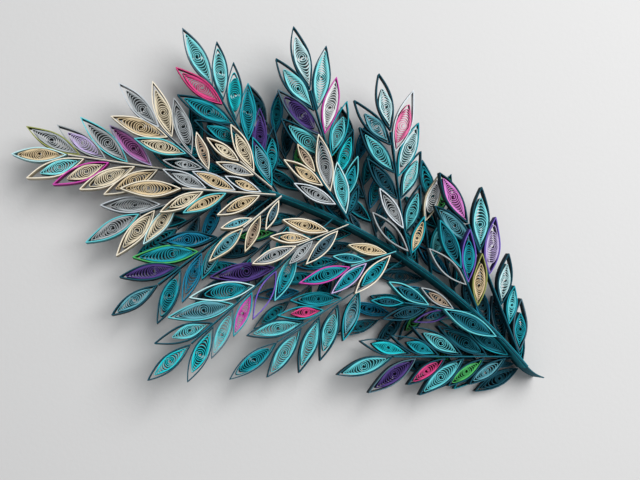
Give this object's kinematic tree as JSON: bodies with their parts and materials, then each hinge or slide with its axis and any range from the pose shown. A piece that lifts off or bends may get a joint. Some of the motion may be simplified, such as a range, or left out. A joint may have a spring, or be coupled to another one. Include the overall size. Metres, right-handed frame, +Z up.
{
  "type": "quilled paper frond",
  "caption": "Flat frond of quilled paper: pinched marquise coils on edge in frames along lifted ribs that fan out in four layers from one curved stem.",
  "frame": {"origin": "underside of the stem at its butt, on the surface that the frond lies on", "axes": "+Z up through the edges of the paper, +X along the frond's long side from crown to butt, +Y across it"},
  "size_m": [0.2633, 0.1845, 0.0307],
  "materials": {
    "cream_strip": "matte",
    "grey_strip": "matte",
    "teal_strip": "matte",
    "dark_teal_strip": "matte",
    "light_teal_strip": "matte",
    "violet_strip": "matte",
    "pink_strip": "matte",
    "tan_coil": "matte",
    "grey_coil": "matte",
    "teal_coil": "matte",
    "turquoise_coil": "matte",
    "pale_aqua_coil": "matte",
    "magenta_coil": "matte",
    "stem_strip": "matte",
    "rib_strip": "matte",
    "under_leaf": "matte"
  },
  "bodies": {
    "root": {"crown_ribs": "rib_strip", "crown_frames": "cream_strip", "crown_coils": "tan_coil", "crown_upper_ribs": "rib_strip", "crown_upper_frames": "cream_strip", "crown_upper_coils": "grey_coil", "crown_lower_ribs": "rib_strip", "crown_lower_frames": "grey_strip", "crown_lower_coils": "tan_coil", "saddle_ribs": "rib_strip", "saddle_frames": "cream_strip", "saddle_coils": "tan_coil", "upper_far_ribs": "rib_strip", "upper_far_frames": "teal_strip", "upper_far_coils": "teal_coil", "upper_middle_ribs": "rib_strip", "upper_middle_frames": "dark_teal_strip", "upper_middle_coils": "turquoise_coil", "upper_near_ribs": "rib_strip", "upper_near_frames": "dark_teal_strip", "upper_near_coils": "pale_aqua_coil", "upper_inner_ribs": "rib_strip", "upper_inner_frames": "violet_strip", "upper_inner_coils": "teal_coil", "upper_butt_ribs": "rib_strip", "upper_butt_frames": "dark_teal_strip", "upper_butt_coils": "magenta_coil", "lower_far_ribs": "rib_strip", "lower_far_frames": "teal_strip", "lower_far_coils": "teal_coil", "lower_middle_ribs": "rib_strip", "lower_middle_frames": "light_teal_strip", "lower_middle_coils": "turquoise_coil", "lower_near_ribs": "rib_strip", "lower_near_frames": "dark_teal_strip", "lower_near_coils": "pale_aqua_coil", "pale_middle_ribs": "rib_strip", "pale_middle_frames": "cream_strip", "pale_middle_coils": "tan_coil", "pale_near_ribs": "rib_strip", "pale_near_frames": "pink_strip", "pale_near_coils": "teal_coil", "lower_inner_ribs": "rib_strip", "lower_inner_frames": "teal_strip", "lower_inner_coils": "turquoise_coil", "lower_butt_ribs": "rib_strip", "lower_butt_frames": "dark_teal_strip", "lower_butt_coils": "turquoise_coil", "under_upper_ribs": "rib_strip", "under_upper_leaves": "under_leaf", "under_lower_ribs": "rib_strip", "under_lower_leaves": "under_leaf", "stem_ply_1": "stem_strip", "stem_ply_2": "stem_strip", "stem_ply_3": "stem_strip"}
  },
  "joints": []
}
